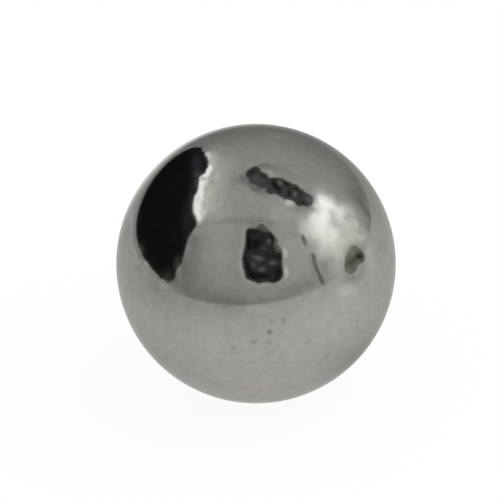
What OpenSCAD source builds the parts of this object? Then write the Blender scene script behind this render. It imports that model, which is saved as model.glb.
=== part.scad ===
// Solid steel ball, ground and lapped to one diameter all the way round.
//
// It is one homogeneous piece with no flat, bore, seam or rim, so the diameter
// is its only size. Units are millimetres, +Z is up, and the origin is the
// centre of the ball, from which every point of the surface is equally far.

/* [Ball] */
// Diameter across the ball; 19.05 is the 3/4 inch size
ball_d = 19.05; // [1:0.05:100]

/* [Hidden] */
// Radius from the centre to the lapped surface
ball_r = ball_d / 2;
// Furthest that a facet's chord may cut inside the surface, as a share of the radius
chord_sag = 0.0003;
// Facets round the equator that keep to that sag, rounded up to whole quarters
facets = 4 * ceil(180 / acos(1 - chord_sag) / 4);
// Lapped bearing steel, a neutral mid grey
lapped_steel = [0.56, 0.56, 0.54];

// The ball: a true sphere about the origin
module ball() {
    color(lapped_steel)
        sphere(r = ball_r, $fn = facets);
}

ball();
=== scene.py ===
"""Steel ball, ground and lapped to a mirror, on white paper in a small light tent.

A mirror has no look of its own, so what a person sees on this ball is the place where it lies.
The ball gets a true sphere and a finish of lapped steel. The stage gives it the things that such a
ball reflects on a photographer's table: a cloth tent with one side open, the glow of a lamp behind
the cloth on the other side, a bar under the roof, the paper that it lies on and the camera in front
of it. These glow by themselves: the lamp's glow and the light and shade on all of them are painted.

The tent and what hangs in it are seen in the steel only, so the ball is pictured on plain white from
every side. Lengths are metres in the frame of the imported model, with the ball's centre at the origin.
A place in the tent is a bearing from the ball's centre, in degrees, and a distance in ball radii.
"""

import logging
import math
import random
from collections.abc import Iterable, Sequence
from dataclasses import dataclass, field
from enum import Enum
from typing import Any

import bmesh
import bpy
from mathutils import Matrix, Vector


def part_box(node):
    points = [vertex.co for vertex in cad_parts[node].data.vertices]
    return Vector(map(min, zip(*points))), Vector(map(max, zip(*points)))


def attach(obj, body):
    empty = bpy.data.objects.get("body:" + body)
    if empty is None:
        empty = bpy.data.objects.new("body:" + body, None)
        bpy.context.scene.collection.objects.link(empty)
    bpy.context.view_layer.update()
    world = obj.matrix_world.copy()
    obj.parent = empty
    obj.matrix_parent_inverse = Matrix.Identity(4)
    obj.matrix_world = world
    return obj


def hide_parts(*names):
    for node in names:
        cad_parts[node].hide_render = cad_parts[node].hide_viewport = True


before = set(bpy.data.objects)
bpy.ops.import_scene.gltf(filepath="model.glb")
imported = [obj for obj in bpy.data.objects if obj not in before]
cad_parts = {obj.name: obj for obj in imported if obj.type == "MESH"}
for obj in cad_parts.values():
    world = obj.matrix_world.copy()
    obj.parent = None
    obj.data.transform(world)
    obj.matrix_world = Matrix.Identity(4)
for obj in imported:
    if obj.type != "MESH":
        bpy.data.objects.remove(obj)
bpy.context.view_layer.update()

log = logging.getLogger("steel_ball")

Colour = tuple[float, float, float]


# --- Bearings and outlines ---


@dataclass(frozen=True)
class Bearing:
    """A direction from the ball's centre, in degrees.

    Turn is 0 towards the camera's side and grows to the right of the picture, rise is the height
    above the level of the ball's centre.
    """

    turn: float
    rise: float

    def ray(self) -> Vector:
        """The bearing as a unit vector."""
        turn, rise = math.radians(self.turn), math.radians(self.rise)
        return Vector((math.sin(turn) * math.cos(rise), -math.cos(turn) * math.cos(rise), math.sin(rise)))


def bearings(*pairs: tuple[float, float]) -> tuple[Bearing, ...]:
    """Bearings from pairs of turn and rise."""
    return tuple(Bearing(*pair) for pair in pairs)


def rounded_path(corners: Sequence[Bearing], steps: int) -> list[Vector]:
    """Runs a closed Catmull-Rom curve through a few corners.

    Args:
        corners: The corners, in order round the outline.
        steps: How many points the curve gets from one corner to the next.

    Returns:
        Unit vectors along the curve.
    """
    rays = [corner.ray() for corner in corners]
    count = len(rays)
    path = []
    for i in range(count):
        before, start, end, after = (rays[(i + shift) % count] for shift in (-1, 0, 1, 2))
        for step in range(steps):
            t = step / steps
            point = 0.5 * (
                2.0 * start
                + (end - before) * t
                + (2.0 * before - 5.0 * start + 4.0 * end - after) * t**2
                + (3.0 * start - before - 3.0 * end + after) * t**3
            )
            path.append(point.normalized())
    return path


# --- Node trees ---


# Noise keeps within about a quarter of 0.5, so this factor spreads it over about 1 either way
NOISE_SPREAD = 4.0
# How many times the finer noises are laid over themselves, each time at twice the fineness
FINE_DETAIL = 3.0


class Socket(Enum):
    """The kinds of socket that the node groups have."""

    NUMBER = "NodeSocketFloat"
    VECTOR = "NodeSocketVector"


class Effect(Enum):
    """The node groups that the finishes share, by name."""

    MOTTLE = "Mottle"
    SOFT_PATCH = "Soft patch"
    PIT = "Pit"
    HAIRLINE = "Hairline"


class Pattern(Enum):
    """The seeds of the noise, one for each thing that it makes uneven."""

    STEEL_TONE = 1.0
    TENT_TONE = 2.0
    WAVES = 3.0
    HAZE = 9.0


class Graph:
    """A node tree in the making, with short calls for the nodes that it uses most."""

    def __init__(self, tree: bpy.types.NodeTree) -> None:
        """Takes a tree and empties it."""
        self.tree = tree
        tree.nodes.clear()

    def add(
        self, kind: str, inputs: dict[str | int, Any] | None = None, **settings: Any
    ) -> bpy.types.Node:
        """Adds one node.

        Args:
            kind: The node's type name.
            inputs: What goes into its sockets, by name or number: a value, or another node's output.
            settings: The node's own properties.

        Returns:
            The new node.
        """
        node = self.tree.nodes.new(kind)
        for name, value in settings.items():
            setattr(node, name, value)
        for name, value in (inputs or {}).items():
            self.feed(node.inputs[name], value)
        return node

    def feed(self, socket: bpy.types.NodeSocket, value: Any) -> None:
        """Fills an input.

        Args:
            socket: The input.
            value: What goes into it: a value, or another node's output.
        """
        if isinstance(value, bpy.types.NodeSocket):
            self.tree.links.new(value, socket)
        else:
            socket.default_value = value

    def math(self, operation: str, *values: Any, clamp: bool = False) -> bpy.types.NodeSocket:
        """The result of a Math node on one, two or three values."""
        node = self.add("ShaderNodeMath", dict(enumerate(values)), operation=operation, use_clamp=clamp)
        return node.outputs["Value"]

    def vector(self, operation: str, *values: Any) -> bpy.types.NodeSocket:
        """The vector that a Vector Math node makes of its values."""
        node = self.add("ShaderNodeVectorMath", dict(enumerate(values)), operation=operation)
        return node.outputs["Vector"]

    def measure(self, operation: str, *values: Any) -> bpy.types.NodeSocket:
        """The number that a Vector Math node makes of its values."""
        node = self.add("ShaderNodeVectorMath", dict(enumerate(values)), operation=operation)
        return node.outputs["Value"]

    def scale(self, value: Any, factor: Any) -> bpy.types.NodeSocket:
        """A vector times a number."""
        node = self.add("ShaderNodeVectorMath", {"Vector": value, "Scale": factor}, operation="SCALE")
        return node.outputs["Vector"]

    def ramp(
        self, value: Any, low: Any, high: Any, start: Any = 0.0, end: Any = 1.0
    ) -> bpy.types.NodeSocket:
        """Eases smoothly from start to end as the value goes from low to high."""
        sockets = {"Value": value, "From Min": low, "From Max": high, "To Min": start, "To Max": end}
        return self.add("ShaderNodeMapRange", sockets, interpolation_type="SMOOTHSTEP").outputs["Result"]

    def noise(self, position: Any, scale: Any, detail: float = 2.0, seed: Any = 0.0) -> bpy.types.NodeSocket:
        """Four-dimensional noise about 0.5, whose fourth coordinate is the seed."""
        sockets = {"Vector": position, "W": seed, "Scale": scale, "Detail": detail}
        return self.add("ShaderNodeTexNoise", sockets, noise_dimensions="4D").outputs["Fac"]

    def group(self, effect: Effect, **inputs: Any) -> bpy.types.NodeSocket:
        """The result of a shared node group on inputs by name."""
        tree = bpy.data.node_groups[effect.value]
        return self.add("ShaderNodeGroup", inputs, node_tree=tree).outputs[0]


def shader_group(effect: Effect, inputs: dict[str, Socket]) -> tuple[Graph, Any, bpy.types.NodeSocket]:
    """Starts a shader node group that makes one number.

    Args:
        effect: Which group it is.
        inputs: Its input sockets, by name.

    Returns:
        The group's graph, the values of its inputs by name, and the socket that takes its result.
    """
    tree = bpy.data.node_groups.new(effect.value, "ShaderNodeTree")
    for socket, kind in inputs.items():
        tree.interface.new_socket(socket, in_out="INPUT", socket_type=kind.value)
    tree.interface.new_socket("Result", in_out="OUTPUT", socket_type=Socket.NUMBER.value)
    graph = Graph(tree)
    return graph, graph.add("NodeGroupInput").outputs, graph.add("NodeGroupOutput").inputs["Result"]


def build_mottle() -> None:
    """Builds uneven tone: a factor about 1 that wanders by the given share over the given size."""
    sockets = {"Position": Socket.VECTOR} | dict.fromkeys(("Size", "Share", "Seed"), Socket.NUMBER)
    graph, given, result = shader_group(Effect.MOTTLE, sockets)
    scale = graph.math("DIVIDE", 1.0, given["Size"])
    noise = graph.noise(given["Position"], scale, detail=FINE_DETAIL, seed=given["Seed"])
    swing = graph.math("MULTIPLY_ADD", noise, NOISE_SPREAD, -NOISE_SPREAD / 2)
    graph.feed(result, graph.math("MULTIPLY_ADD", swing, given["Share"], 1.0))


def build_soft_patch() -> None:
    """Builds a soft patch of light: 1 straight Ahead, fading by Width and Height in degrees about it."""
    sockets = dict.fromkeys(("Direction", "Right", "Ahead", "Up"), Socket.VECTOR)
    sockets |= dict.fromkeys(("Width", "Height", "Crispness"), Socket.NUMBER)
    graph, given, result = shader_group(Effect.SOFT_PATCH, sockets)
    right, ahead, up = (
        graph.measure("DOT_PRODUCT", given["Direction"], given[name]) for name in ("Right", "Ahead", "Up")
    )
    across = graph.math("ARCTAN2", right, ahead)
    above = graph.math("ARCSINE", up)
    spread = 0.0
    for offset, name in ((across, "Width"), (above, "Height")):
        share = graph.math("DIVIDE", graph.math("DEGREES", offset), given[name])
        spread = graph.math("MULTIPLY_ADD", share, share, spread)
    fall = graph.math("POWER", spread, given["Crispness"])
    graph.feed(result, graph.math("EXPONENT", graph.math("MULTIPLY", fall, -1.0)))


def build_pit(waves: float = 1.6, sway: float = 0.7, core: float = 0.3, edge: float = 0.75) -> None:
    """Builds a small pit or speck: 1 inside its Width round Centre, 0 outside, ragged between.

    Args:
        waves: How many waves its ragged edge has across its width.
        sway: How far the edge wanders, as a share of the width.
        core: The share of the width inside which the pit is at its full depth.
        edge: The share of the width outside which there is nothing of it.
    """
    sockets = {"Position": Socket.VECTOR, "Centre": Socket.VECTOR, "Width": Socket.NUMBER}
    graph, given, result = shader_group(Effect.PIT, sockets)
    offset = graph.vector("SUBTRACT", given["Position"], given["Centre"])
    share = graph.math("DIVIDE", graph.measure("LENGTH", offset), given["Width"])
    ragged = graph.noise(given["Position"], graph.math("DIVIDE", waves, given["Width"]))
    share = graph.math("ADD", share, graph.math("MULTIPLY_ADD", ragged, sway, -sway / 2))
    graph.feed(result, graph.ramp(share, core, edge, 1.0, 0.0))


def build_hairline(worn: float = 0.52, whole: float = 0.62) -> None:
    """Builds a hairline: a fine arc where the surface crosses a plane, worn away over most of its length.

    Args:
        worn: The level of noise below which it's gone.
        whole: The level of noise above which it's at its full strength.
    """
    sockets = dict.fromkeys(("Position", "Across"), Socket.VECTOR)
    sockets |= dict.fromkeys(("Offset", "Width", "Length", "Seed"), Socket.NUMBER)
    graph, given, result = shader_group(Effect.HAIRLINE, sockets)
    height = graph.measure("DOT_PRODUCT", given["Position"], given["Across"])
    gap = graph.math("ABSOLUTE", graph.math("SUBTRACT", height, given["Offset"]))
    line = graph.ramp(gap, 0.0, given["Width"], 1.0, 0.0)
    scale = graph.math("DIVIDE", 1.0, given["Length"])
    wear = graph.noise(given["Position"], scale, seed=given["Seed"])
    graph.feed(result, graph.math("MULTIPLY", line, graph.ramp(wear, worn, whole)))


def build_effects() -> None:
    """Builds each shared node group once."""
    for build in (build_mottle, build_soft_patch, build_pit, build_hairline):
        build()


def new_material(name: str) -> tuple[bpy.types.Material, Graph]:
    """Makes an empty material.

    Args:
        name: The material's name.

    Returns:
        The material, and the graph that fills it.
    """
    material = bpy.data.materials.new(name)
    material.use_nodes = True
    return material, Graph(material.node_tree)


# --- The ball ---


@dataclass(frozen=True)
class Pit:
    """One pit or speck in the lapped surface, at a bearing on the ball."""

    place: Bearing
    width: float
    depth: float


@dataclass(frozen=True)
class LappedSteel:
    """Finish of a bearing ball: a clear mirror with a faint haze, hairlines and a few pits."""

    steel: Colour = (0.56, 0.56, 0.54)
    edge_tint: Colour = (0.82, 0.82, 0.82)
    roughness: float = 0.07
    haze: float = 0.02
    haze_size: float = 0.0014
    haze_band: tuple[float, float] = (0.3, 0.7)
    wave_length: float = 0.0006
    wave_height: float = 0.0000007
    wave_detail: float = 1.5
    tone_size: float = 0.0005
    tone_share: float = 0.08
    pits: tuple[Pit, ...] = tuple(
        Pit(Bearing(turn, rise), width, depth)
        for turn, rise, width, depth in (
            (2.5, 1.6, 0.00036, 0.38), (2.0, -2.8, 0.0003, 0.18), (-4.2, -2.2, 0.0004, 0.2),
            (8.5, 6.4, 0.0003, 0.2), (8.3, 4.9, 0.0003, 0.17), (11.6, 8.5, 0.00034, 0.08),
            (3.7, 6.3, 0.00034, 0.1), (17.8, -6.5, 0.0004, 0.1), (-12.5, -4.8, 0.0004, 0.13),
            (-12.0, -22.5, 0.0003, 0.07), (25.7, -18.3, 0.00034, 0.06), (-47.8, -19.4, 0.00028, 0.1),
            (-20.8, -21.7, 0.00028, 0.1), (-33.1, 63.5, 0.0003, 0.12), (-30.8, 39.2, 0.00026, 0.12),
        )
    )
    pit_roughness: float = 0.3
    pit_sink: float = 0.000004
    hairlines: int = 9
    hairline_width: float = 0.00005
    hairline_depth: float = 0.03
    hairline_offset: float = 0.7
    hairline_length: tuple[float, float] = (0.3, 0.7)
    hairline_patterns: float = 20.0
    seed: int = 11

    def build(self, radius: float) -> bpy.types.Material:
        """Builds the steel for a ball about the origin.

        Args:
            radius: The ball's radius, which places the pits and hairlines.

        Returns:
            The material.
        """
        material, graph = new_material("lapped_steel")
        position = graph.add("ShaderNodeTexCoord").outputs["Object"]
        marks = self._pits(graph, position, radius)
        scratches = self._scratches(graph, position, radius)
        marks = graph.math("MULTIPLY_ADD", scratches, self.hairline_depth, marks)
        shader = graph.add("ShaderNodeBsdfPrincipled", {"Metallic": 1.0})
        shader.inputs["Specular Tint"].default_value = (*self.edge_tint, 1.0)
        graph.feed(shader.inputs["Base Color"], self._colour(graph, position, marks))
        graph.feed(shader.inputs["Roughness"], self._roughness(graph, position, marks))
        graph.feed(shader.inputs["Normal"], self._normal(graph, position, marks))
        graph.add("ShaderNodeOutputMaterial", {"Surface": shader.outputs["BSDF"]})
        return material

    def _pits(self, graph: Graph, position: Any, radius: float) -> bpy.types.NodeSocket:
        """Adds up the pits, each by its own depth.

        Args:
            graph: The material's graph.
            position: The position on the ball.
            radius: The ball's radius.

        Returns:
            How deep the surface is pitted there, from 0 to 1.
        """
        marks = 0.0
        for pit in self.pits:
            centre = pit.place.ray() * radius
            mask = graph.group(Effect.PIT, Position=position, Centre=centre, Width=pit.width)
            marks = graph.math("MULTIPLY_ADD", mask, pit.depth, marks)
        return marks

    def _scratches(self, graph: Graph, position: Any, radius: float) -> bpy.types.NodeSocket:
        """Adds up the hairlines, each on its own plane through the ball.

        Args:
            graph: The material's graph.
            position: The position on the ball.
            radius: The ball's radius.

        Returns:
            How many hairlines run there.
        """
        draw = random.Random(self.seed)
        scratches = 0.0
        for _ in range(self.hairlines):
            across = Vector((draw.gauss(0, 1), draw.gauss(0, 1), draw.gauss(0, 1))).normalized()
            mask = graph.group(
                Effect.HAIRLINE,
                Position=position,
                Across=across,
                Offset=draw.uniform(-self.hairline_offset, self.hairline_offset) * radius,
                Width=self.hairline_width,
                Length=draw.uniform(*self.hairline_length) * radius,
                Seed=draw.uniform(0.0, self.hairline_patterns),
            )
            scratches = graph.math("ADD", scratches, mask)
        return scratches

    def _colour(self, graph: Graph, position: Any, marks: Any) -> bpy.types.NodeSocket:
        """Mixes the steel's colour, uneven in tone and dark in the pits.

        Args:
            graph: The material's graph.
            position: The position on the ball.
            marks: How deep the surface is marked there.

        Returns:
            The colour.
        """
        tone = graph.group(
            Effect.MOTTLE,
            Position=position,
            Size=self.tone_size,
            Share=self.tone_share,
            Seed=Pattern.STEEL_TONE.value,
        )
        unmarked = graph.math("SUBTRACT", 1.0, marks, clamp=True)
        return graph.scale(self.steel, graph.math("MULTIPLY", tone, unmarked))

    def _roughness(self, graph: Graph, position: Any, marks: Any) -> bpy.types.NodeSocket:
        """Sets the polish, a little hazier in places and dull in the pits.

        Args:
            graph: The material's graph.
            position: The position on the ball.
            marks: How deep the surface is marked there.

        Returns:
            The roughness.
        """
        haze = graph.noise(position, 1.0 / self.haze_size, seed=Pattern.HAZE.value)
        polish = graph.math("MULTIPLY_ADD", graph.ramp(haze, *self.haze_band), self.haze, self.roughness)
        return graph.math("MULTIPLY_ADD", marks, self.pit_roughness, polish)

    def _normal(self, graph: Graph, position: Any, marks: Any) -> bpy.types.NodeSocket:
        """Lays out the last shallow waves that lapping leaves, with the pits sunk in.

        Args:
            graph: The material's graph.
            position: The position on the ball.
            marks: How deep the surface is marked there.

        Returns:
            The surface's normal.
        """
        waves = graph.noise(
            position, 1.0 / self.wave_length, detail=self.wave_detail, seed=Pattern.WAVES.value
        )
        height = graph.math("MULTIPLY", waves, self.wave_height)
        height = graph.math("MULTIPLY_ADD", marks, -self.pit_sink, height)
        bump = graph.add("ShaderNodeBump", {"Height": height, "Strength": 1.0, "Distance": 1.0})
        return bump.outputs["Normal"]


@dataclass
class SteelBall:
    """The ball itself: one closed true sphere, its cells as even at the poles as at the equator."""

    diameter: float
    cells: int = 80
    finish_and_painted_light: LappedSteel = field(default_factory=LappedSteel)

    @classmethod
    def from_frame(cls) -> "SteelBall":
        """Takes the ball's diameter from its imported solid."""
        low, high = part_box("ball")
        return cls(diameter=high.z - low.z)

    @property
    def radius(self) -> float:
        """Half the diameter."""
        return self.diameter / 2

    def build(self) -> bpy.types.Object:
        """Makes the ball, dresses it and hands it to the frame.

        Returns:
            The finished ball.
        """
        ball = self._bake(self._sphere_tree(), self.finish_and_painted_light.build(self.radius))
        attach(ball, "root")
        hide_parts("ball")
        return ball

    def _sphere_tree(self) -> bpy.types.NodeTree:
        """Builds the rule of the sphere: a cube of square cells, blown out to one radius.

        Each cube coordinate is first turned into the tangent of its share of 45 degrees, which makes
        the cells span equal angles.

        Returns:
            The geometry node tree.
        """
        tree = bpy.data.node_groups.new("Even sphere", "GeometryNodeTree")
        for name, kind in (("Diameter", "Float"), ("Cells", "Int"), ("Steel", "Material")):
            tree.interface.new_socket(name, in_out="INPUT", socket_type="NodeSocket" + kind)
        tree.interface.new_socket("Ball", in_out="OUTPUT", socket_type="NodeSocketGeometry")
        graph = Graph(tree)
        given = graph.add("NodeGroupInput").outputs
        rows = graph.math("ADD", given["Cells"], 1.0)
        sides = {f"Vertices {axis}": rows for axis in "XYZ"}
        cube = graph.add("GeometryNodeMeshCube", {"Size": (2.0, 2.0, 2.0), **sides})
        angle = graph.scale(graph.add("GeometryNodeInputPosition").outputs["Position"], math.radians(45.0))
        outward = graph.vector("NORMALIZE", graph.vector("TANGENT", angle))
        surface = graph.scale(outward, graph.math("MULTIPLY", given["Diameter"], 0.5))
        blown = graph.add("GeometryNodeSetPosition", {"Geometry": cube.outputs["Mesh"], "Position": surface})
        smooth = graph.add("GeometryNodeSetShadeSmooth", {"Geometry": blown.outputs["Geometry"]})
        real = graph.add("GeometryNodeRealizeInstances", {"Geometry": smooth.outputs["Geometry"]})
        dressed = graph.add(
            "GeometryNodeSetMaterial", {"Geometry": real.outputs["Geometry"], "Material": given["Steel"]}
        )
        graph.add("NodeGroupOutput", {"Ball": dressed.outputs["Geometry"]})
        return tree

    def _bake(self, tree: bpy.types.NodeTree, steel: bpy.types.Material) -> bpy.types.Object:
        """Runs the tree on an empty object and keeps what it makes as a plain mesh.

        Args:
            tree: The geometry node tree.
            steel: The material of the ball.

        Returns:
            The ball, with no modifier.
        """
        ball = bpy.data.objects.new("polished_ball", bpy.data.meshes.new("ball_seed"))
        bpy.context.scene.collection.objects.link(ball)
        modifier = ball.modifiers.new("Even sphere", "NODES")
        modifier.node_group = tree
        values = {"Diameter": self.diameter, "Cells": self.cells, "Steel": steel}
        for item in tree.interface.items_tree:
            if item.in_out == "INPUT":
                modifier[item.identifier] = values[item.name]
        evaluated = ball.evaluated_get(bpy.context.evaluated_depsgraph_get())
        mesh = bpy.data.meshes.new_from_object(evaluated)
        mesh.name = "polished_ball"
        ball.modifiers.clear()
        ball.data = mesh
        return ball


# --- The tent, which only the steel sees ---


CLOTH_TINT = (1.0, 1.017, 0.955)
LAMP_TINT = (1.0, 1.005, 1.02)
PAPER_TINT = (1.0, 0.995, 0.96)
PINK_TINT = (1.0, 0.0, 0.1)

# How far one layer of cards lies behind the next, in ball radii
LAYER = 0.2


def through_cloth(level: float) -> Colour:
    """Light of a level that has come through the white cloth, which takes a little blue out of it."""
    red, green, blue = CLOTH_TINT
    return (level * red, level * green, level * blue)


@dataclass(frozen=True)
class SoftPatch:
    """A soft patch of light, or of shade if its gain is below 0, at a bearing from the ball."""

    place: Bearing
    width: float
    height: float
    gain: float
    lean: float = 0.0
    crispness: float = 1.0
    tint: Colour = CLOTH_TINT

    def axes(self) -> tuple[Vector, Vector, Vector]:
        """Turns the patch to its place.

        Returns:
            Unit vectors to the patch's right, straight at it, and up it, with its lean.
        """
        turned = Matrix.Rotation(math.radians(self.place.turn), 3, "Z")
        raised = Matrix.Rotation(math.radians(-self.place.rise), 3, "X")
        leaned = Matrix.Rotation(math.radians(-self.lean), 3, "Y")
        right, back, up = (axis.copy() for axis in (turned @ raised @ leaned).col)
        return right, -back, up


# A row leaves out its lean and crispness where they're 0 and 1
def soft_patches(*rows: tuple[float, ...], tint: Colour = CLOTH_TINT) -> tuple[SoftPatch, ...]:
    """Soft patches of one tint, from rows of turn, rise, width, height, gain, lean and crispness."""
    return tuple(SoftPatch(Bearing(turn, rise), *sizes, tint=tint) for turn, rise, *sizes in rows)


@dataclass(frozen=True)
class Glow:
    """The light that comes from a surface in the tent to the steel."""

    tone: Colour
    patches: tuple[SoftPatch, ...] = ()
    mottle: float = 0.03
    mottle_size: float = 0.06
    crumple: float = 0.0
    crumple_size: float = 0.07

    def light(self, graph: Graph) -> bpy.types.NodeSocket:
        """Wires up the surface's light as seen from the ball.

        Args:
            graph: The material's graph.

        Returns:
            The colour of the light.
        """
        direction = graph.vector("NORMALIZE", graph.add("ShaderNodeTexCoord").outputs["Object"])
        if self.crumple:
            direction = self._crumpled(graph, direction)
        light = self.tone
        for patch in self.patches:
            right, ahead, up = patch.axes()
            share = graph.group(
                Effect.SOFT_PATCH,
                Direction=direction,
                Right=right,
                Ahead=ahead,
                Up=up,
                Width=patch.width,
                Height=patch.height,
                Crispness=patch.crispness,
            )
            added = [patch.gain * part for part in patch.tint]
            light = graph.vector("ADD", graph.scale(added, share), light)
        tone = graph.group(
            Effect.MOTTLE,
            Position=direction,
            Size=self.mottle_size,
            Share=self.mottle,
            Seed=Pattern.TENT_TONE.value,
        )
        return graph.scale(graph.vector("MAXIMUM", light, (0.0, 0.0, 0.0)), tone)

    def _crumpled(self, graph: Graph, direction: Any) -> bpy.types.NodeSocket:
        """Lets a direction drift, as cloth that isn't flat does.

        Args:
            graph: The material's graph.
            direction: The direction from the ball.

        Returns:
            The direction, off by up to about the crumple in degrees.
        """
        sockets = {"Vector": direction, "Scale": 1.0 / self.crumple_size, "Detail": FINE_DETAIL}
        noise = graph.add("ShaderNodeTexNoise", sockets).outputs["Color"]
        drift = graph.vector("SUBTRACT", noise, (0.5, 0.5, 0.5))
        shift = graph.scale(drift, NOISE_SPREAD * math.radians(self.crumple))
        return graph.vector("NORMALIZE", graph.vector("ADD", direction, shift))

    def build(self, name: str) -> bpy.types.Material:
        """Builds the material of a surface that is seen in the steel only.

        Args:
            name: The material's name.

        Returns:
            The material.
        """
        material, graph = new_material(name)
        # The surface gives off this light itself, so all the light and shade on it, patches and all, is
        # painted.
        glow = graph.add("ShaderNodeEmission", {"Color": self.light(graph)})
        graph.add("ShaderNodeOutputMaterial", {"Surface": glow.outputs["Emission"]})
        material.cycles.emission_sampling = "NONE"
        return material


@dataclass(frozen=True)
class Card:
    """A thing in the tent that faces the ball, cut to an outline and everywhere as far from it."""

    name: str
    corners: tuple[Bearing, ...]
    glow: Glow
    distance: float
    ragged: float = 0.3
    steps: int = 3
    cuts: int = 5

    def outline(self) -> list[Vector]:
        """Draws the card's outline, its edge made ragged by a few tenths of a degree.

        Returns:
            Unit vectors along the outline.
        """
        draw = random.Random(self.name)
        sway = math.radians(self.ragged)
        path = rounded_path(self.corners, self.steps)
        return [(ray + Vector([draw.uniform(-sway, sway) for _ in range(3)])).normalized() for ray in path]

    def build(self, radius: float) -> bpy.types.Object:
        """Cuts the card flat, in the plane square to its middle, and bends it to one distance.

        Args:
            radius: The ball's radius, in which the card's distance is counted.

        Returns:
            The card.
        """
        path = self.outline()
        middle = sum(path, Vector()).normalized()
        sheet = bmesh.new()
        sheet.faces.new([sheet.verts.new(ray / ray.dot(middle)) for ray in path])
        bmesh.ops.triangulate(sheet, faces=sheet.faces)
        bmesh.ops.subdivide_edges(sheet, edges=sheet.edges, cuts=self.cuts, use_grid_fill=True)
        for corner in sheet.verts:
            corner.co = corner.co.normalized() * self.distance * radius
        return tent_piece(self.name, sheet, self.glow)


def add_to_stage(name: str, mesh: bpy.types.Mesh, in_steel_only: bool) -> bpy.types.Object:
    """Puts a mesh on the stage.

    Args:
        name: The object's name.
        mesh: Its mesh, already in place.
        in_steel_only: Whether reflections are the only rays that see it.

    Returns:
        The new object.
    """
    thing = bpy.data.objects.new(name, mesh)
    bpy.context.scene.collection.objects.link(thing)
    if in_steel_only:
        thing.visible_camera = False
        thing.visible_diffuse = False
        thing.visible_volume_scatter = False
        thing.visible_shadow = False
    return thing


def tent_piece(name: str, sheet: bmesh.types.BMesh, glow: Glow) -> bpy.types.Object:
    """Makes a thing in the tent, which is seen in the steel only.

    Args:
        name: The object's name.
        sheet: Its shape, already in place, which is used up.
        glow: Its light.

    Returns:
        The new object.
    """
    mesh = bpy.data.meshes.new(name)
    sheet.to_mesh(mesh)
    sheet.free()
    mesh.materials.append(glow.build(name))
    return add_to_stage(name, mesh, in_steel_only=True)


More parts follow.
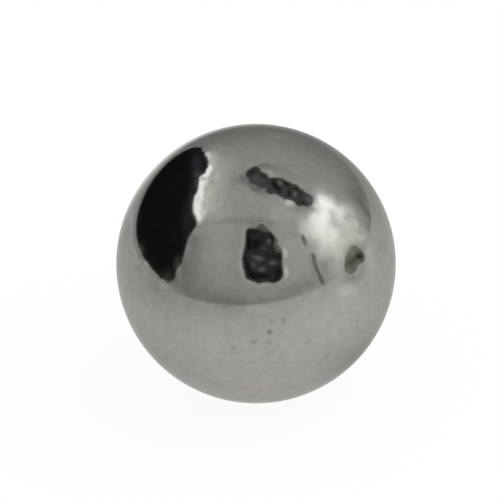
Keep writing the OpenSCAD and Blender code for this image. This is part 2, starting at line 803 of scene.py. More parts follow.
@dataclass(frozen=True)
class TentMouth:
    """The open side of the tent, to the left: the dark room beyond it and the lit hem of the cloth."""

    distance: float = 22.2
    opening: tuple[Bearing, ...] = bearings(
        (-164.5, 16), (-164, 19.5), (-161.5, 26), (-159, 34), (-155, 42), (-150, 47.5), (-145, 49.5),
        (-141, 51), (-136, 49.5), (-130, 51.5), (-125, 52.5), (-120, 53.5), (-115, 53.5), (-110, 52),
        (-100, 51), (-90, 50), (-80, 49.5), (-74, 47), (-73, 44), (-72.5, 40), (-72, 36), (-69.5, 30),
        (-68.5, 25.5), (-67, 20.5), (-67.5, 17.5), (-69.5, 14.5), (-69.5, 11), (-69.5, 7), (-74, 1.5),
        (-79, 1.5), (-83, 1), (-90, 1.5), (-100, 1.5), (-110, 1), (-120, 1), (-130, 1), (-140, 1.5),
        (-150, 2), (-155, 2.5), (-160, 3), (-163, 6), (-164.5, 10),
    )
    hem: tuple[Bearing, ...] = bearings(
        (-160, 32), (-162, 32), (-160, 38), (-158, 45), (-154, 50), (-149, 55), (-148, 59), (-141, 63),
        (-131, 66), (-130, 61), (-125, 61), (-116, 66), (-99, 66), (-83, 66), (-78, 63), (-78, 59),
        (-75, 57), (-70, 54), (-72, 51), (-72, 48), (-81, 45), (-101, 49), (-119, 51), (-137, 46),
    )
    hem_edge: tuple[Bearing, ...] = bearings(
        (-152, 46), (-151, 50), (-148, 53), (-142, 55), (-136, 56), (-130, 58), (-123, 59), (-118, 58),
        (-110, 59), (-102, 59), (-96, 59), (-93, 57), (-87, 57), (-79, 58), (-76, 56), (-76, 53), (-74, 51),
        (-77, 49), (-89, 47), (-101, 49), (-119, 51), (-134, 48), (-146, 46),
    )
    hem_glint: tuple[Bearing, ...] = bearings(
        (-151, 48), (-150, 51), (-147, 53), (-142, 54.5), (-138, 55.5), (-133, 56), (-127, 56.5),
        (-120, 57), (-112, 58), (-106, 58), (-100, 57), (-95, 56), (-90, 54.5), (-85, 53.5), (-80, 53),
        (-76, 52.5), (-73, 51), (-75, 50), (-80, 49), (-90, 49.5), (-100, 51), (-110, 52), (-120, 53),
        (-130, 51.5), (-136, 51.5), (-141, 51), (-147, 48.5),
    )
    room: Glow = Glow(
        tone=(0.008, 0.008, 0.007),
        mottle=0.2,
        patches=(
            SoftPatch(Bearing(-151, 36), 2.5, 14, 0.03, lean=-31, tint=(0.8, 1.0, 1.25)),
            SoftPatch(Bearing(-117, 48), 11, 2, 0.015, lean=14, tint=(0.6, 1.0, 1.3)),
            SoftPatch(Bearing(-87, 42), 11, 4, 0.015, lean=-22, tint=(0.7, 0.9, 1.3)),
            SoftPatch(Bearing(-77, 5), 6, 3.5, 0.03, lean=30, tint=(1.0, 1.1, 0.7)),
            SoftPatch(Bearing(-71, 17), 3, 4.5, 0.05, lean=5, tint=(1.0, 1.0, 0.9)),
            SoftPatch(Bearing(-74, 2.5), 6, 2, 0.05, lean=18, tint=(1.0, 1.1, 0.7)),
            SoftPatch(Bearing(-112, 2), 5, 2, 0.05, lean=21, tint=(1.0, 1.1, 0.7)),
            SoftPatch(Bearing(-131, 49), 9, 2, 0.045, lean=31, tint=(0.9, 1.0, 1.1)),
            SoftPatch(Bearing(-140, 45), 2, 5.5, 0.03, lean=-21, tint=(0.9, 1.0, 1.1)),
        ),
    )
    daylight: Glow = Glow(
        tone=(1.38, 1.39, 1.4),
        patches=soft_patches(
            (-133, 54, 1.5, 2.5, -0.75, -11), (-103, 55, 8, 3, -0.15, 3),
            (-83, 50, 2.5, 1.5, -0.2, -12),
            tint=LAMP_TINT,
        ),
    )
    edge_light: Glow = Glow(
        tone=through_cloth(0.95),
        patches=(SoftPatch(Bearing(-133, 55), 4, 1.5, -0.1, lean=39),),
    )
    hem_light: Glow = Glow(
        tone=through_cloth(0.66),
        patches=soft_patches(
            (-159, 37, 2, 7.5, 0.25, -18), (-162, 30, 1.5, 5, 0.08, -17),
            (-145, 55, 1.5, 4.5, -0.12, -36), (-96, 61, 10, 1.5, 0.1, -7), (-72, 48, 2.5, 2, 0.1, 9),
        ),
    )

    def cards(self) -> list[Card]:
        """Cuts the room seen through the opening, and the hem in three tones behind its edge.

        Returns:
            The cards, from front to back.
        """
        return [
            Card("tent_mouth", self.opening, self.room, self.distance),
            Card("hem_glint", self.hem_glint, self.daylight, self.distance + LAYER),
            Card("hem_edge", self.hem_edge, self.edge_light, self.distance + 2 * LAYER),
            Card("hem", self.hem, self.hem_light, self.distance + 3 * LAYER),
        ]


@dataclass(frozen=True)
class RoofBar:
    """The dark bar that hangs under the roof, with painted spots of light and shade along it."""

    distance: float = 21.0
    outline: tuple[Bearing, ...] = bearings(
        (-178.5, 72.5), (178.5, 69.5), (173.5, 68), (169.5, 65.5), (165, 65), (161, 65.5), (157, 67),
        (153.5, 69), (145, 69.5), (137.5, 70), (131.5, 71), (128.5, 69), (124.5, 65.5), (122, 63.5),
        (117.5, 62), (113.5, 60.5), (111, 58.5), (109, 55), (104.5, 54), (102.5, 52), (100, 50),
        (99.5, 48), (97, 45), (89, 45), (82, 47.5), (80.5, 51), (76, 53.5), (76.5, 55.5),
        (79.5, 58), (78, 62.5), (77, 65.5), (82.5, 71), (77.5, 74.5), (81, 77.5), (98, 79), (100, 81.5),
        (107, 83.5), (143, 83.5), (172, 81.5), (174, 79.5), (-178, 76.5),
    )
    glint: tuple[Bearing, ...] = bearings(
        (75.5, 63), (79, 61.5), (79.5, 59.5), (77, 58.5), (73, 59), (70, 61), (71, 62.5),
    )
    # The bar's dark tone, with painted spots of light and painted shade along it.
    finish_and_painted_light: Glow = Glow(
        tone=(0.06, 0.062, 0.06),
        mottle=0.1,
        patches=(
            *soft_patches(
                (171, 72, 2.5, 3.5, -0.05, -29), (149, 77, 6, 3.5, 0.04, -26),
                (99, 78, 3, 2.5, 0.06, -42), (87, 73, 2, 2, 0.04, 31), (122, 83, 5, 1.5, 0.1, 20),
                (143, 73, 2, 1.5, -0.05, -23), (94, 75, 2.5, 2, -0.02, -24),
                (111, 71, 5, 1.5, -0.055, -7), (112, 67, 2, 1.5, 0.14, -32),
                (110, 63, 2, 2, -0.06, -33), (97, 69, 3.5, 1.5, -0.045, 9), (96, 65, 3, 1.5, 0.03, -8),
                (91, 62, 3.5, 1.5, -0.055),
            ),
            SoftPatch(Bearing(93, 58), 2.5, 1.5, 0.13, lean=-5, tint=(0.8, 1.0, 1.0)),
            SoftPatch(Bearing(97, 55), 3.5, 1.5, -0.02, lean=8, tint=(1.1, 0.9, 0.0)),
            SoftPatch(Bearing(102, 57), 2, 2, -0.045, lean=-12),
            SoftPatch(Bearing(92, 48), 3.5, 2.5, 0.1, lean=-27, tint=(0.8, 1.0, 0.95)),
            SoftPatch(Bearing(85, 51), 2.5, 2, -0.055),
        ),
    )
    glint_light: Glow = Glow((0.9, 0.9, 0.89))

    def cards(self) -> list[Card]:
        """Cuts the bar, and the glint of the lamp under it.

        Returns:
            The cards, from front to back.
        """
        return [
            Card("roof_bar", self.outline, self.finish_and_painted_light, self.distance),
            Card("bar_glint", self.glint, self.glint_light, self.distance + LAYER),
        ]


@dataclass(frozen=True)
class CameraInTent:
    """The camera and the hand that holds it, with the edge of light that the cloth gives them."""

    distance: float = 18.0
    ragged: float = 0.2
    hand_light: Glow = Glow(through_cloth(0.14))
    viewfinder_light: Glow = Glow(through_cloth(0.13))
    body: tuple[Bearing, ...] = bearings(
        (-9, 55), (-8, 57), (-4, 58), (2.5, 57.5), (7, 56.5), (11.5, 55), (15.5, 53.5), (19, 52.5),
        (22.5, 52), (24, 49.5), (24, 46.5), (22, 43.5), (20.5, 41), (20.5, 38.5), (22, 35.5), (25, 34),
        (25, 31), (23.5, 28), (22.5, 24.5), (22, 20.5), (21.5, 17.5), (19, 14.5), (15, 13), (11, 13),
        (7, 14.5), (0, 14.5), (-3, 16), (-7, 17.5), (-10, 20), (-10.5, 24), (-12, 27.5), (-12.5, 31),
        (-12.5, 35), (-11, 41.5), (-10, 45), (-9.5, 48.5), (-9.5, 52),
    )
    front: tuple[Bearing, ...] = bearings(
        (-4, 53.5), (0.5, 55), (8.5, 54.5), (15, 52.5), (19, 50), (19.5, 46.5), (18, 42.5), (19, 38.5),
        (21.5, 35), (22.5, 31.5), (21.5, 27.5), (19, 25), (16.5, 22), (15.5, 18.5), (13, 16), (8.5, 15.5),
        (3, 16), (0, 17.5), (-0.5, 21), (-2, 23.5), (-4.5, 25), (-5.5, 28.5), (-7, 32), (-8.5, 34.5),
        (-8.5, 38.5), (-6.5, 40.5), (-2.5, 41.5), (-2, 45.5), (-3, 49.5),
    )
    hand: tuple[Bearing, ...] = bearings(
        (22.5, 50.5), (25.5, 47), (26.5, 44.5), (25.5, 42.5), (24, 40.5), (26, 39), (26.5, 36), (26, 33.5),
        (21.5, 34.5), (19.5, 40.5), (19, 46.5),
    )
    viewfinder: tuple[Bearing, ...] = bearings(
        (4, 58), (8, 59), (11, 60.5), (14, 60.5), (18, 59.5), (19.5, 57.5), (20.5, 56), (22.5, 53),
        (21, 50), (12.5, 53), (5, 55.5),
    )
    rim: tuple[Bearing, ...] = bearings(
        (-12, 57), (-7, 59), (3, 60), (11, 62), (20, 61), (23, 57), (27, 51), (30, 45), (27, 41), (29, 37),
        (31, 33), (29, 29), (27, 27), (25, 25), (26, 21), (26, 17), (23, 14), (20, 11), (13, 11), (6, 12),
        (0, 12), (-6, 14), (-11, 17), (-13, 21), (-14, 26), (-15, 31), (-15, 35), (-16, 40), (-14, 44),
        (-13, 49),
    )
    # The body's near-black tone, with two faint painted glints near its top and right edge.
    shell: Glow = Glow(
        tone=(0.006, 0.006, 0.005),
        patches=soft_patches(
            (16, 54, 3, 1.5, 0.05, -16), (22, 42, 2, 4.5, 0.05, -36),
        ),
    )
    # The front's dark tone, with painted glints and painted shade across it.
    casing_and_painted_light: Glow = Glow(
        tone=(0.034, 0.036, 0.032),
        mottle=0.15,
        patches=(
            *soft_patches(
                (2, 21, 7, 2.5, -0.02, -7), (-7, 28, 2, 4.5, -0.02, -3), (16, 22, 2, 4, -0.015, -13),
                (2, 43, 3, 2.5, -0.015, -7), (4, 46, 5.5, 3, -0.025, 7), (6, 19, 4.5, 1.5, -0.025, -8),
                (0, 55, 3.5, 2.5, -0.015, -7), (22, 32, 1.5, 3, -0.025, -19),
                (15, 34, 4.5, 2, -0.015, -23),
            ),
            SoftPatch(Bearing(2.5, 34), 4, 1.5, 0.15, lean=-19, tint=(0.9, 1.0, 0.88)),
            SoftPatch(Bearing(15, 28.5), 2.5, 1.5, 0.15, lean=-13, tint=(0.9, 1.0, 1.0)),
            SoftPatch(Bearing(4.5, 25), 2.5, 1.5, 0.16, lean=-8, tint=(0.9, 0.97, 1.1)),
            *soft_patches(
                (18, 45, 2.5, 2, 0.12, -14), (-2.5, 29, 2, 2.5, 0.07, 15),
            ),
            SoftPatch(Bearing(8.5, 41), 2.5, 3, 0.03, lean=-13, tint=(0.7, 1.1, 0.8)),
        ),
    )
    edge_light: Glow = Glow(
        tone=through_cloth(0.45),
        patches=soft_patches(
            (29, 34, 2.5, 6, 0.32, -23), (25, 19, 2.5, 4.5, 0.3, -15), (-14, 31, 2.5, 6, 0.06),
            (-14, 42, 2, 3, 0.06), (-13, 24, 1.5, 3, 0.1, -11), (-15.5, 32, 1.5, 5, 0.13, 2),
            (8, 11, 6, 1, 0.06, -10), (-7.5, 16, 4.5, 1, 0.08, -3), (-14, 56, 1.5, 3, 0.08, 5),
            (0.5, 59, 4.5, 2, -0.14, 4), (28, 55, 4, 2.5, -0.09, -45), (26, 27, 1.5, 2, -0.12, -19),
            (2, 59, 5.5, 1.5, -0.06, -8), (23, 14, 2, 3, 0.06, -12),
        ),
    )

    def cards(self) -> list[Card]:
        """Cuts the camera's front and black body, the hand and viewfinder, and the light edge behind all.

        Returns:
            The cards, from front to back.
        """
        return [
            Card("camera_front", self.front, self.casing_and_painted_light, self.distance - LAYER, self.ragged),
            Card("camera_body", self.body, self.shell, self.distance, self.ragged),
            Card("camera_hand", self.hand, self.hand_light, self.distance + LAYER),
            Card("camera_viewfinder", self.viewfinder, self.viewfinder_light, self.distance + LAYER),
            Card("camera_rim", self.rim, self.edge_light, self.distance + 2 * LAYER),
        ]


@dataclass(frozen=True)
class LampGlow:
    """The lamp's light on the crumpled cloth to the right."""

    skirt: tuple[SoftPatch, ...] = soft_patches(
        (84, 25, 28, 18, 0.3, -26, 2.5), (68, 15, 14, 4.5, 0.2, -32, 1.5),
        (70, 5.5, 5, 9.5, 0.2, -32, 1.5), (60, 41, 7, 5.5, 0.25, 24, 1.5), (94, 16, 9, 4.5, 0.15, -30),
    )
    core: tuple[SoftPatch, ...] = soft_patches(
        (89, 36, 16, 6.5, 0.68, 10, 1.5), (72, 39, 9.5, 5, 0.45, 25, 1.3),
        (102, 30, 4, 7, 0.4, 29, 1.3), (98, 24, 7.5, 4, 0.45, -4, 1.3),
        (73, 27, 10, 7.5, 0.35, -5, 1.3), (80, 22, 6, 4, 0.3, -25, 1.3), (98, 40, 5, 2.5, 0.3, -39),
        (98, 40, 5.5, 2, 0.22, -4), (99, 30, 3.5, 2, 0.18, -10), (78, 41, 3, 2, 0.2, -17),
        (91, 35, 6, 2, 0.2, 7), (94, 39, 3.5, 2, 0.14, -11), (98, 29, 3, 1.5, 0.1, -22),
        (93, 28, 5.5, 3, 0.06), (77, 41, 2.5, 1.5, 0.12, -16), (71, 31, 3.5, 2, 0.1, -32),
        (97, 41, 3, 2, 0.2, -28), (97, 16, 4.5, 2, 0.1, -36),
        tint=LAMP_TINT,
    )
    fringe: tuple[SoftPatch, ...] = soft_patches(
        (107, 18, 3, 6, 0.24, 43), (62, 48, 8, 3, 0.06, 35), (102, 0.5, 6.5, 3, 0.15, -31),
        (64, 31, 5, 2, 0.13, -34), (73, 20, 9.5, 3, 0.2, -35), (83, 15, 7, 4, 0.12, -32),
        (99, 5.5, 11, 5, 0.22, -31, 1.3), (104, 9.5, 4.5, 2.5, 0.14, -16), (60, 20, 3.5, 5.5, 0.1, -40),
        (63, 10, 9.5, 3.5, 0.06, -29), (62, 2.5, 3, 5.5, 0.06, -38), (62, 7.5, 2.5, 4, 0.1, -27),
        (57, 44, 2.5, 2, 0.07), (55, 18, 2, 4.5, 0.06, -32), (117, 30, 2, 4.5, 0.06, 42),
        (106, 44, 5.5, 2, 0.05, -35),
    )
    shade: tuple[SoftPatch, ...] = soft_patches(
        (105, 26, 4, 2, -0.35, -45), (106, 25, 2, 5, -0.12, 42), (75, 25, 3, 2, -0.08, -30),
        (104, 17, 3.5, 2, -0.08, -33), (52, 28, 4, 2, -0.06, -28), (47, 13, 2.5, 5, -0.07, -23),
        (83, 40, 3.5, 2, -0.2, -36), (75, 37, 6, 2.5, -0.12, 26), (66, 41, 6, 2.5, -0.1, 34),
        (57, 11, 3.5, 5, -0.06, -27), (84, 46, 1.5, 3.5, -0.2, 42), (107, 37, 2.5, 4, -0.06, 5),
        (91, 45, 2.5, 1.5, -0.08), (83, 35, 1.5, 5.5, -0.08, 45), (69, 52, 2.5, 2, -0.09, -5),
        (49, 40, 2.5, 2, -0.07, 32), (76, 24, 4, 2, -0.06, -32), (95, 11, 8, 3, -0.06, -35),
        (116, -2.5, 5.5, 2.5, -0.06, -8), (73, 11, 2.5, 1.5, -0.09, -31), (90, 6.5, 3.5, 1, -0.07, -34),
        (89, 23, 3, 2, -0.1, -28), (102, 7, 4, 1.5, -0.11, -31), (91, 7, 3.5, 1.5, -0.06, -30),
        (75, 52, 3, 6, -0.1, 31),
    )

    def patches(self) -> tuple[SoftPatch, ...]:
        """All the patches of the lamp's light, from its skirt inward."""
        return self.skirt + self.core + self.fringe + self.shade


@dataclass(frozen=True)
class SideFold:
    """The fold down the cloth between the camera and the lamp, its shade painted as two dark cards, open at
    its middle.
    """

    distance: float = 22.5
    top: tuple[Bearing, ...] = bearings(
        (51.5, 39), (53.5, 38.5), (53.5, 35.5), (52.5, 33), (51, 30.5), (49.5, 30.5), (48.5, 32.5),
        (49, 35.5),
    )
    foot: tuple[Bearing, ...] = bearings(
        (50.5, 24), (49, 20.5), (48.5, 16.5), (48, 13), (48.5, 9.5), (48.5, 6), (49, 2), (50, -0.5),
        (52, -1.5), (52, 1.5), (51.5, 5.5), (51, 9.5), (51, 13), (51.5, 16.5), (52.5, 19.5), (52.5, 23),
    )
    top_light: Glow = Glow(through_cloth(0.2))
    foot_light: Glow = Glow(through_cloth(0.16))

    def cards(self) -> list[Card]:
        """Cuts the two halves of the fold's painted shade.

        Returns:
            The cards, from the top down.
        """
        return [
            Card("fold_top", self.top, self.top_light, self.distance),
            Card("fold_foot", self.foot, self.foot_light, self.distance),
        ]


@dataclass(frozen=True)
class SideClip:
    """The clip that stands on the paper close by the ball, to the right."""

    distance: float = 6.0
    outline: tuple[Bearing, ...] = bearings(
        (81.5, 9.5), (86, 7.5), (88.5, 4), (90.5, 1.5), (91.5, -1), (91, -3), (89.5, -5), (87, -4.5),
        (83, -3.5), (81, -4), (79, -5), (75.5, -5), (71.5, -3.5), (69, -0.5), (69, 2.5), (71, 5), (72.5, 7),
        (76, 8.5),
    )
    # The clip's olive tone, with painted light near its top and painted shade across its middle.
    finish_and_painted_light: Glow = Glow(
        tone=(0.19, 0.195, 0.165),
        mottle=0.1,
        patches=(
            SoftPatch(Bearing(80, 7), 5, 2.5, 0.1, lean=-31, tint=(1.0, 1.02, 0.75)),
            *soft_patches(
                (71, 0, 4, 2.5, 0.05, -31), (86, 0, 5.5, 2, -0.18, -31), (76, 2, 5.5, 2, -0.09, -8),
            ),
        ),
    )

    def cards(self) -> list[Card]:
        """The clip as one card."""
        return [Card("side_clip", self.outline, self.finish_and_painted_light, self.distance)]


@dataclass(frozen=True)
class TentCloth:
    """The light on the cloth itself, brighter by the mouth and darker in its folds and corners."""

    level: float = 0.44
    crumple: float = 1.8
    crumple_size: float = 0.09
    by_the_mouth: tuple[SoftPatch, ...] = soft_patches(
        (-132, 61, 16, 5, 0.12, 36), (-82, 63, 10, 4.5, 0.12, -17), (-159, 43, 4, 13, 0.2, -22),
        (-110, 64, 30, 9, 0.08, 20), (-152, 61, 5, 16, 0.07, -32), (-60, 23, 10, 19, -0.13, 6),
        (-48, 16, 14, 12, -0.05), (-143, -5, 16, 2, 0.07, 28), (-162, 10, 1.5, 6, 0.1, -24),
    )
    by_the_bar: tuple[SoftPatch, ...] = soft_patches(
        (-162, 78, 3.5, 4, -0.13, 17), (162, 84, 6.5, 2.5, -0.16, -36), (-144, 74, 2.5, 8, -0.05, -41),
        (102, 84, 3, 8, -0.1, -43), (75, 60, 2.5, 4, 0.2, 41), (140, 67, 4.5, 2.5, 0.12, 21),
        (112, 55, 3, 2, 0.1, 37), (57, 59, 13, 8, 0.08, -24), (69, 58, 1, 2, -0.14, 43),
        (84, 43, 3, 2, -0.15, -19), (158, 63, 3, 3.5, -0.1, -38), (148, 60, 7.5, 4.5, -0.07, 40),
        (130, 58, 5.5, 9.5, -0.05, -40), (-173, 75, 2, 6, -0.1, -11), (76, 80, 2, 5.5, -0.05, -12),
        (146, 65, 5.5, 2.5, -0.05, -6), (168, 55, 3.5, 3.5, -0.04, 5), (137, 13, 2, 9.5, -0.04, 41),
        (176, 87, 4, 2.5, 0.07, -43), (70, 55, 1.5, 5.5, -0.04, 40), (146, 85, 5.5, 1.5, -0.04, -11),
        (90, 80, 1.5, 5, -0.06, -26),
    )
    folds: tuple[SoftPatch, ...] = soft_patches(
        (-43, 61, 14, 1.5, -0.05, 25), (-23, 64, 17, 2, -0.045, 9), (24, 56, 4, 2, -0.08, -21),
        (24, 60, 4.5, 1.5, -0.06, -22), (-1, 61, 6, 1.5, -0.05, -6), (19, 64, 8, 3.5, -0.09, -19),
        (-8, 65, 14, 2.5, -0.05, -5), (58, 45, 1.5, 3.5, -0.07, 22), (44, 43, 3, 2, -0.06, -27),
        (38, 5, 10, 2, -0.06, -21), (26, 2.5, 9.5, 4, -0.06, -18),
    )
    walls: tuple[SoftPatch, ...] = soft_patches(
        (-35, 1, 48, 9, -0.14), (-15, 0, 24, 2, -0.06, -1), (-26, 13, 24, 14, -0.03, 8),
        (-18, 39, 4.5, 23, -0.05, 5), (35, 4.5, 14, 4.5, -0.05, -7), (-64, 38, 6, 4, -0.08, -42),
        (-64, 17, 4.5, 7, -0.05, 19), (-164, 38, 3, 5.5, -0.05, 5), (-62, 10, 3.5, 9.5, -0.03, 12),
        (-70, 5, 3, 3.5, -0.12, -9), (-69, 35, 4.5, 3.5, -0.05, -34), (-120, 6, 6, 2, -0.06, -4),
        (-112, -3, 6, 2.5, -0.05, 12), (-101, 0.5, 3, 1.5, 0.15, 31), (16, -0.5, 11, 3, -0.05, -5),
        (143, -2, 9.5, 1, 0.08, -42), (168, 19, 4, 9.5, 0.05), (124, 22, 19, 7, 0.03, -42),
        (-159, 37, 2, 5, 0.15, -30), (-81, 58, 3, 3, 0.1, 11), (-80, -2, 5.5, 1, 0.12, 4),
        (-68, 7.5, 2, 5.5, -0.06, 13), (-102, 1, 2.5, 1.5, 0.12, -6), (29, 63, 7.5, 1.5, 0.09, -26),
        (17, 61, 5.5, 1.5, -0.05, -18), (30, 14, 3.5, 4.5, 0.04, -14), (-178, 6, 68, 38, -0.19),
        (40, 30, 13, 13, 0.06), (131, 5.5, 17, 4, -0.08, -34), (123, 1, 4, 8, -0.14, -5),
        (131, 9.5, 4.5, 24, -0.03, 41),
    )
    lamp: LampGlow = LampGlow()

    def glow(self) -> Glow:
        """Gathers all the light on the cloth.

        Returns:
            The light, crumpled.
        """
        patches = self.by_the_mouth + self.by_the_bar + self.folds + self.walls + self.lamp.patches()
        return Glow(
            through_cloth(self.level), patches, crumple=self.crumple, crumple_size=self.crumple_size
        )


@dataclass
class LightTent:
    """The cloth tent round the ball, with all that shows in it."""

    radius: float
    reach: float = 23.0
    turns: int = 96
    rings: int = 64
    cloth: TentCloth = TentCloth()
    mouth: TentMouth = TentMouth()
    bar: RoofBar = RoofBar()
    camera: CameraInTent = CameraInTent()
    fold: SideFold = SideFold()
    clip: SideClip = SideClip()

    def build(self) -> list[bpy.types.Object]:
        """Makes the cloth and everything that hangs or stands in front of it.

        Returns:
            Each thing, from the cloth inward.
        """
        things = [self._dome()]
        for part in (self.mouth, self.bar, self.camera, self.fold, self.clip):
            things += [card.build(self.radius) for card in part.cards()]
        return things

    def _dome(self) -> bpy.types.Object:
        """Makes the cloth: a dome that stands on the paper, seen from inside.

        Returns:
            The cloth.
        """
        shell = bmesh.new()
        bmesh.ops.create_uvsphere(
            shell, u_segments=self.turns, v_segments=self.rings, radius=self.reach * self.radius
        )
        bmesh.ops.bisect_plane(
            shell,
            geom=shell.verts[:] + shell.edges[:] + shell.faces[:],
            plane_co=(0.0, 0.0, -self.radius),
            plane_no=(0.0, 0.0, -1.0),
            clear_outer=True,
        )
        bmesh.ops.reverse_faces(shell, faces=shell.faces)
        return tent_piece("tent_cloth", shell, self.cloth.glow())


# --- The paper, the light and the camera ---


# The paper as the steel sees it: its tone is painted tent light, its patches painted light and shade, with
# faint pink in places.
PAPER_PAINTED_LIGHT = Glow(
    tone=(0.59, 0.585, 0.565),
    mottle=0.045,
    mottle_size=0.09,
    patches=soft_patches(
        (-75, -4, 60, 12, -0.1), (-10, -4, 60, 6, -0.07), (-85, -8, 20, 9, -0.06),
        (0, -5, 15, 2.5, 0.06, -5), (-37, -5, 7, 2.5, 0.06, -8), (-25, -13, 2, 6.5, -0.05, 4),
        (-34, -23, 6.5, 6, 0.03, 44), (-41, -47, 10, 4.5, -0.05, -15), (175, 0, 50, 13, -0.3),
        (-167, -11, 14, 8, 0.5), (46, -21, 21, 9.5, 0.05, -18), (65, -18, 11, 5, 0.03, -20),
        (65, -11, 7, 3, 0.15, -20), (96, -11, 5.5, 3, 0.07, 15), (75, -8, 7.5, 2.5, -0.17, -20),
        (71, -2.5, 3.5, 2, -0.08, -18), (-106, -5, 3.5, 2, -0.07, 6), (-90, -5, 3.5, 1.5, -0.05, 20),
        (50, -3, 4, 2, -0.06, -16), (92, -21, 5.5, 3, -0.04, -20), (-24, -3, 12, 1.5, -0.1, 3),
        (86, -8, 4.5, 3, -0.14, 15), (101, -5.5, 4, 2, 0.12, 7), (115, -12, 7, 2.5, -0.06, -19),
        (23, -29, 16, 10, 0.035, -16), (-56, -41, 13, 4.5, -0.04, 20), (-65, -17, 27, 14, -0.025, 15),
        (-102, -15, 7, 5, -0.03, 21), (-110, -15, 3.5, 6.5, -0.05, 30), (-83, -6, 4.5, 1, -0.08, 6),
        (-138, -4.5, 18, 1.5, 0.07, 24), (75, -49, 21, 10, -0.15), (-84, -38, 19, 10, -0.06),
        tint=PAPER_TINT,
    ) + soft_patches(
        (81, -23, 16, 12, 0.03, -21), (50, -32, 11, 4.5, 0.025, -22), (-9, -53, 14, 7, 0.035, -5),
        (-38, -40, 12, 8, 0.015),
        tint=PINK_TINT,
    ),
)


@dataclass
class PaperFloor:
    """The sheet of white paper that the ball lies on."""

    radius: float
    half_width: float = 1.5
    sides: int = 96
    matt_tone: float = 0.8
    lit_share: float = 0.07
    in_steel: Glow = PAPER_PAINTED_LIGHT

    def build(self) -> bpy.types.Object:
        """Lays the paper under the ball's lowest point.

        Returns:
            The paper.
        """
        turns = [math.tau * side / self.sides for side in range(self.sides)]
        rim = [
            (math.cos(turn) * self.half_width, math.sin(turn) * self.half_width, -self.radius)
            for turn in turns
        ]
        mesh = bpy.data.meshes.new("paper_floor")
        mesh.from_pydata(rim, [], [list(range(self.sides))])
        mesh.materials.append(self._paper())
        return add_to_stage("paper_floor", mesh, in_steel_only=False)

    def _paper(self) -> bpy.types.Material:
        """Builds paper that is white to the camera apart from the shadow, and that glows in the steel with
        painted tent light and shade.

        Returns:
            The material.
        """
        material, graph = new_material("white_paper")
        rays = graph.add("ShaderNodeLightPath").outputs
        lit = graph.add("ShaderNodeBsdfDiffuse", {"Color": (self.lit_share,) * 3 + (1.0,)})
        plain = graph.add("ShaderNodeEmission", {"Strength": 1.0 - self.lit_share})
        white = graph.add("ShaderNodeAddShader", {0: lit.outputs["BSDF"], 1: plain.outputs["Emission"]})
        matt = graph.add("ShaderNodeBsdfDiffuse", {"Color": (self.matt_tone,) * 3 + (1.0,)})
        in_steel = graph.add("ShaderNodeEmission", {"Color": self.in_steel.light(graph)})
        seen = graph.add(
            "ShaderNodeMixShader",
            {"Fac": rays["Is Camera Ray"], 1: matt.outputs["BSDF"], 2: white.outputs["Shader"]},
        )
        mirrored = graph.math("MAXIMUM", rays["Is Glossy Ray"], rays["Is Transmission Ray"])
        surface = graph.add(
            "ShaderNodeMixShader",
            {"Fac": mirrored, 1: seen.outputs["Shader"], 2: in_steel.outputs["Emission"]},
        )
        graph.add("ShaderNodeOutputMaterial", {"Surface": surface.outputs["Shader"]})
        material.cycles.emission_sampling = "NONE"
        return material


@dataclass
class StudioLight:
    """Soft light all round, and one broad lamp overhead that gives the shadow its side."""

    all_round: float = 0.6
    lamp_share: float = 0.4
    lamp_spread: float = 60.0
    lamp_place: Bearing = Bearing(70.0, 55.0)

    def build(self) -> bpy.types.Object:
        """Sets up the world and the lamp, which light a white card to just white.

        Returns:
            The lamp.
        """
        world = bpy.data.worlds.new("studio")
        world.use_nodes = True
        graph = Graph(world.node_tree)
        rays = graph.add("ShaderNodeLightPath").outputs
        mirrored = graph.math("MAXIMUM", rays["Is Glossy Ray"], rays["Is Transmission Ray"])
        seen = graph.math("MAXIMUM", rays["Is Camera Ray"], mirrored)
        strength = graph.math("MULTIPLY_ADD", seen, 1.0 - self.all_round, self.all_round)
        white = graph.add("ShaderNodeBackground", {"Color": (1.0, 1.0, 1.0, 1.0), "Strength": strength})
        graph.add("ShaderNodeOutputWorld", {"Surface": white.outputs["Background"]})
        world.cycles.sampling_method = "NONE"
        bpy.context.scene.world = world

        lamp = bpy.data.lights.new("tent_lamp", "SUN")
        lamp.energy = self.lamp_share * math.pi / math.sin(math.radians(self.lamp_place.rise))
        lamp.angle = math.radians(self.lamp_spread)
        holder = bpy.data.objects.new("tent_lamp", lamp)
        bpy.context.scene.collection.objects.link(holder)
        holder.rotation_euler = self.lamp_place.ray().to_track_quat("Z", "Y").to_euler()
        holder.visible_glossy = False
        return holder


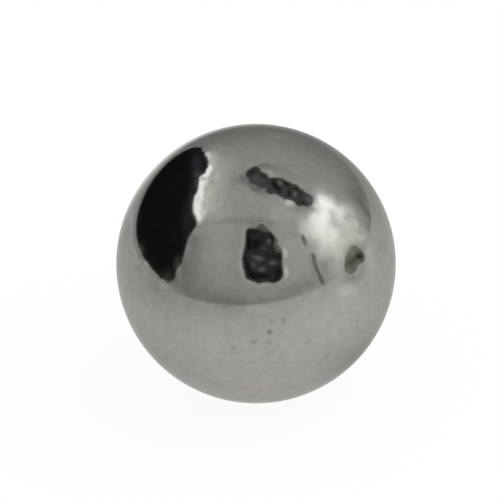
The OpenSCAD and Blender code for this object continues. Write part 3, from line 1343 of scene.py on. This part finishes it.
@dataclass
class ProductCamera:
    """The camera in front of the ball, a little above it and not quite level."""

    radius: float
    rise: float = 30.0
    roll: float = 6.0
    distance: float = 19.0
    picture_side: float = 500.0
    ball_pixel: tuple[float, float] = (256.0, 263.6)
    ball_half_width: float = 139.8

    def build(self) -> bpy.types.Object:
        """Places and aims the camera so that the ball fills its part of the picture.

        Returns:
            The camera.
        """
        back = Bearing(0.0, self.rise).ray()
        right = Matrix.Rotation(math.radians(self.roll), 3, -back) @ Vector((1.0, 0.0, 0.0))
        above = back.cross(right)
        half_frame = self._half_frame()
        middle = self.picture_side / 2
        across = (self.ball_pixel[0] / middle - 1.0) * half_frame
        rise = (1.0 - self.ball_pixel[1] / middle) * half_frame
        back_of_lens = (back + right * across + above * rise).normalized()
        right = (right - back_of_lens * right.dot(back_of_lens)).normalized()
        above = back_of_lens.cross(right)

        lens = bpy.data.cameras.new("product_camera")
        lens.lens = lens.sensor_width / 2 / half_frame
        camera = bpy.data.objects.new("product_camera", lens)
        turned = Matrix((right, above, back_of_lens)).transposed()
        camera.matrix_world = Matrix.Translation(back * self.distance * self.radius) @ turned.to_4x4()
        bpy.context.scene.collection.objects.link(camera)
        bpy.context.scene.camera = camera
        return camera

    def _half_frame(self) -> float:
        """Half the picture's width, as a tangent, at which the ball has its width in the picture."""
        limb = 1.0 / math.sqrt(self.distance**2 - 1.0)
        return limb * self.picture_side / 2 / self.ball_half_width


def report(things: Iterable[bpy.types.Object]) -> None:
    """Logs each thing's name and how many faces it has.

    Args:
        things: The things that were just made.
    """
    for thing in things:
        faces = len(thing.data.polygons) if thing.type == "MESH" else 0
        log.info("%s: %d faces", thing.name, faces)


def main() -> None:
    """Builds the ball, its tent, the paper, the light and the camera."""
    logging.basicConfig(level=logging.INFO, format="%(name)s: %(message)s")
    build_effects()
    ball = SteelBall.from_frame()
    report([ball.build()])
    report([ProductCamera(ball.radius).build()])
    report([PaperFloor(ball.radius).build()])
    report(LightTent(ball.radius).build())
    report([StudioLight().build()])
    bpy.context.scene.view_settings.view_transform = "Standard"


if __name__ == "__main__":
    main()
